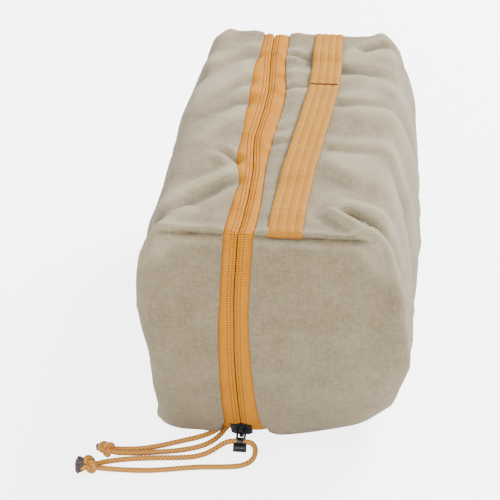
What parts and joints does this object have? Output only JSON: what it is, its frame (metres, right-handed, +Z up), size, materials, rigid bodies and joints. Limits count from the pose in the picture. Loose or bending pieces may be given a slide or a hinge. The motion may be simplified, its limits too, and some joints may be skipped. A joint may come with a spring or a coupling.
{
  "type": "shaving kit bag",
  "caption": "Boxy waxed canvas wash bag for shaving gear, with an off-centre coil zip round its front, top and back, a webbing handle and knotted cord pulls.",
  "frame": {"origin": "middle of the bag's own box, on the surface it stands on, cords left out", "axes": "+Y along the zip's top run, away from the end with the pulls; +Z up; +X to the right, away from the lid"},
  "size_m": [0.1844, 0.2897, 0.1546],
  "materials": {
    "waxed_canvas": "matt, mottled, waxed",
    "lining": "matt",
    "zip_tape": "matt herringbone weave",
    "zip_coil": "satin",
    "webbing": "slight sheen, ribbed",
    "thread": "slight sheen",
    "slider_metal": "satin gunmetal",
    "cord": "slight sheen, braided",
    "melted_cord": "glossy, lumpy"
  },
  "bodies": {
    "bag": {"main_canvas": "waxed_canvas", "main_lining": "lining", "zip_tape_main": "zip_tape", "zip_coil_main": "zip_coil", "zip_tape_left_tails": "zip_tape", "zip_coil_left_tails": "zip_coil", "zip_end_tab_front": "waxed_canvas", "zip_end_tab_back": "waxed_canvas", "handle_webbing": "webbing", "handle_bar_tack": "thread", "lower_slider_body": "slider_metal"},
    "lid": {"lid_canvas": "waxed_canvas", "lid_lining": "lining", "zip_tape_lid": "zip_tape", "zip_coil_lid": "zip_coil"},
    "front_slider": {"front_slider_body": "slider_metal"},
    "front_pull": {"front_pull": "slider_metal"},
    "front_cord_loop": {"front_cord_long": "cord", "front_cord_short": "cord", "front_cord_knot": "cord", "front_cord_melted_end": "melted_cord"},
    "lower_pull": {"lower_pull": "slider_metal", "lower_cord_back": "cord", "lower_cord_front": "cord", "lower_cord_knot": "cord", "lower_cord_melted_end": "melted_cord"}
  },
  "joints": [
    {"name": "lid_hinge", "type": "hinge", "parent": "bag", "child": "lid", "pos_m": [-0.0639, 0, 0.0082], "axis": [0, -1, 0], "range_deg": [0, 25]},
    {"name": "front_slider_travel", "type": "hinge", "parent": "bag", "child": "front_slider", "pos_m": [-0.0177, 0.0175, 0.075], "axis": [-1, 0, 0], "range_deg": [0, 26]},
    {"name": "front_pull_hinge", "type": "hinge", "parent": "front_slider", "child": "front_pull", "pos_m": [-0.0177, -0.11777, 0.00732], "axis": [-1, 0, 0], "range_deg": [0, 28]},
    {"name": "front_cord_swing", "type": "hinge", "parent": "front_pull", "child": "front_cord_loop", "pos_m": [-0.0177, -0.12351, 0.00498], "axis": [0, -1, 0], "range_deg": [0, 59.8]},
    {"name": "lower_pull_hinge", "type": "hinge", "parent": "bag", "child": "lower_pull", "pos_m": [-0.0177, -0.09567, 0.00803], "axis": [1, 0, 0], "range_deg": [0, 25]}
  ],
  "couplings": [
    {"joint": "front_cord_swing", "follows": "front_slider_travel", "ratio": 2.3}
  ]
}
